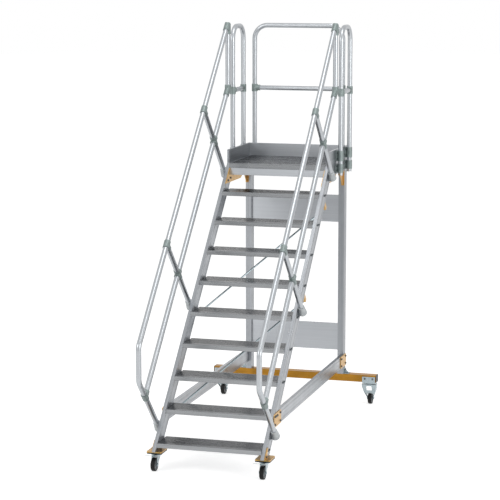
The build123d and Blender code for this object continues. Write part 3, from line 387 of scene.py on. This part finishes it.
def crown_plate(swivel, top):
    place = (swivel.x, swivel.y, top - FORK_CROWN[2] / 2)
    bpy.ops.object.select_all(action="DESELECT")
    bpy.ops.mesh.primitive_cube_add(size=1, location=place)
    crown = bpy.context.object
    bpy.ops.object.mode_set(mode="EDIT")
    bpy.ops.transform.resize(value=FORK_CROWN, center_override=place)
    bpy.ops.mesh.select_mode(type="EDGE")
    bpy.ops.mesh.select_all(action="DESELECT")
    bpy.ops.object.mode_set(mode="OBJECT")
    for edge in crown.data.edges:
        start, end = (crown.data.vertices[i].co for i in edge.vertices)
        edge.select = abs(start.z - end.z) > FORK_CROWN[2] / 2
    bpy.ops.object.mode_set(mode="EDIT")
    bpy.ops.mesh.bevel(offset=CROWN_CORNER, segments=6)
    return settle(crown, 0.8 * MM)


def axle_part(place, sides, radius, length):
    bpy.ops.object.select_all(action="DESELECT")
    bpy.ops.mesh.primitive_cylinder_add(
        vertices=sides, radius=radius, depth=length, location=place, rotation=(0, math.radians(90), 0)
    )
    return settle(bpy.context.object, 0.8 * MM)


def rear_fork(side_name):
    node = f"caster_fork_rear_{side_name}"
    corner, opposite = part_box(node)
    wheel_low, wheel_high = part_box(f"caster_tyre_rear_{side_name}")
    swivel = Vector(((corner[0] + opposite[0]) / 2, corner[1] + SWIVEL_BACK, 0))
    axle = (Vector(wheel_low) + Vector(wheel_high)) / 2
    outer = LEG_SECTIONS[-1][1] * MM
    sheet = FORK_SHEET / MM
    parts = [crown_plate(swivel, opposite[2])]
    parts.append(pressed_sheet(swivel, [(z, -half, sheet - half, *ends) for z, half, *ends in LEG_SECTIONS]))
    parts.append(pressed_sheet(swivel, [(z, half - sheet, half, *ends) for z, half, *ends in LEG_SECTIONS]))
    for sections in FRONT_SHEETS:
        around = [(z, left, right, y - sheet / 2, y + sheet / 2) for z, left, right, y in sections]
        parts.append(pressed_sheet(swivel, around))
    parts.append(axle_part(axle, 32, AXLE_RADIUS, 2 * outer))
    for side in (-1, 1):
        head = axle + Vector((side * (outer + AXLE_HEAD_HEIGHT / 2), 0, 0))
        parts.append(axle_part(head, 6, AXLE_HEAD, AXLE_HEAD_HEIGHT))
    bpy.ops.object.select_all(action="DESELECT")
    for part in parts:
        part.select_set(True)
    bpy.context.view_layer.objects.active = parts[0]
    bpy.ops.object.join()
    fork = bpy.context.object
    fork.name = f"rear_fork_{side_name}"
    bpy.ops.object.shade_smooth_by_angle(angle=math.radians(30))
    fork.data.materials.clear()
    fork.data.materials.append(zinc)
    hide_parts(node)
    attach(fork, f"swivel_rear_{side_name}")


for side_name in ("left", "right"):
    rear_fork(side_name)


# --- stage -------------------------------------------------------------------------------

def shown_as_background(tree, hidden, seen):
    """A strength for rays that light the object, and one for rays that show the background:
    from the camera, in a reflection or through glass."""
    rays = tree.nodes.new("ShaderNodeLightPath")
    total = rays.outputs["Is Camera Ray"]
    for kind in ("Is Glossy Ray", "Is Transmission Ray"):
        either = tree.nodes.new("ShaderNodeMath")
        either.operation = "MAXIMUM"
        tree.links.new(total, either.inputs[0])
        tree.links.new(rays.outputs[kind], either.inputs[1])
        total = either.outputs[0]
    scaled = tree.nodes.new("ShaderNodeMapRange")
    scaled.inputs["To Min"].default_value = hidden
    scaled.inputs["To Max"].default_value = seen
    tree.links.new(total, scaled.inputs["Value"])
    return scaled.outputs[0]


bpy.ops.object.select_all(action="DESELECT")
bpy.ops.mesh.primitive_circle_add(vertices=96, radius=60, fill_type="NGON", location=(0, 0, 0))
floor = bpy.context.object
floor.name = "studio_floor"
floor_material, floor_shader = finish(
    "pale_studio_floor",
    {"Base Color": linear("#E6E6E6"), "Roughness": 0.9, "Emission Color": (1, 1, 1, 1)},
)
floor.data.materials.append(floor_material)
floor_glow = shown_as_background(floor_material.node_tree, 0.0, 0.64)
wire(floor_material, floor_shader, Emission_Strength=floor_glow)

scene = bpy.context.scene
scene.view_settings.view_transform = "Standard"
world = bpy.data.worlds.new("white_studio")
scene.world = world
world.use_nodes = True
background = world.node_tree.nodes["Background"]
background.inputs["Color"].default_value = (1, 1, 1, 1)
world_glow = shown_as_background(world.node_tree, 0.45, 1.0)
world.node_tree.links.new(world_glow, background.inputs["Strength"])

middle = (cad_low + cad_high) / 2


def softbox(name, place, size, power):
    """A square softbox that faces the middle of the object."""
    data = bpy.data.lights.new(name, "AREA")
    data.shape = "SQUARE"
    data.size = size
    data.energy = power
    lamp = bpy.data.objects.new(name, data)
    scene.collection.objects.link(lamp)
    lamp.location = place
    lamp.rotation_euler = (middle - lamp.location).to_track_quat("-Z", "Y").to_euler()


softbox("side_softbox", Vector((6.5, -3.0, 3.5)), 4.0, 180)
softbox("front_softbox", Vector((-4.5, -6.5, 5.5)), 4.0, 160)
softbox("top_softbox", Vector((1.0, -1.0, 8.0)), 3.5, 120)

camera_data = bpy.data.cameras.new("camera")
camera_data.lens = 136.706
camera_data.sensor_width = 36.0
camera_data.shift_y = -0.0203
camera_data.clip_end = 200
camera = bpy.data.objects.new("camera", camera_data)
scene.collection.objects.link(camera)
camera.location = (4.0245, -13.9918, 3.7374)
camera.rotation_euler = (math.radians(90 - 8.478), 0, math.radians(16.123))
scene.camera = camera
